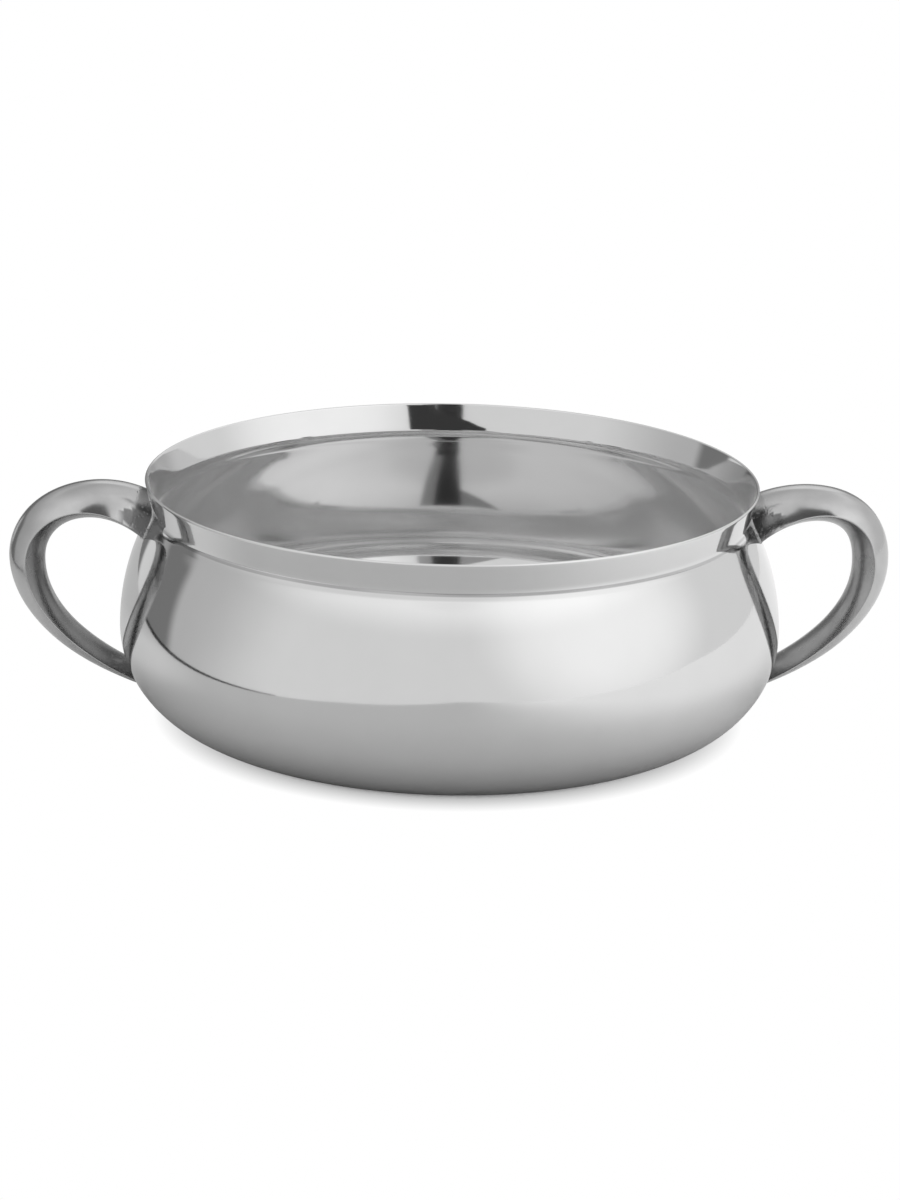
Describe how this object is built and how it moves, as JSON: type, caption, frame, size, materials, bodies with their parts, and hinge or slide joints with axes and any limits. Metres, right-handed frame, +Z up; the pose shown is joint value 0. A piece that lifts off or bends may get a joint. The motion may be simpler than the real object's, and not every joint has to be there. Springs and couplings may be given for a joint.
{
  "type": "two-handled serving bowl",
  "caption": "Open round serving bowl in polished steel with a full belly, a narrow neck, a flared lip and cast loop handles welded to its sides.",
  "frame": {"origin": "centre of the flat base, on the surface that the bowl stands on", "axes": "+X towards the right-hand handle, +Y to the back, +Z up through the mouth"},
  "size_m": [0.333, 0.25, 0.0925],
  "materials": {
    "polished_sheet": "mirror-polished spun stainless sheet",
    "cast_handle": "cast and buffed to a soft shine",
    "weld_metal": "dressed weld with fine pits left in it"
  },
  "bodies": {
    "root": {"bowl_shell": "polished_sheet", "left_handle": "cast_handle", "right_handle": "cast_handle", "left_upper_weld": "weld_metal", "left_lower_weld": "weld_metal", "right_upper_weld": "weld_metal", "right_lower_weld": "weld_metal"}
  },
  "joints": []
}
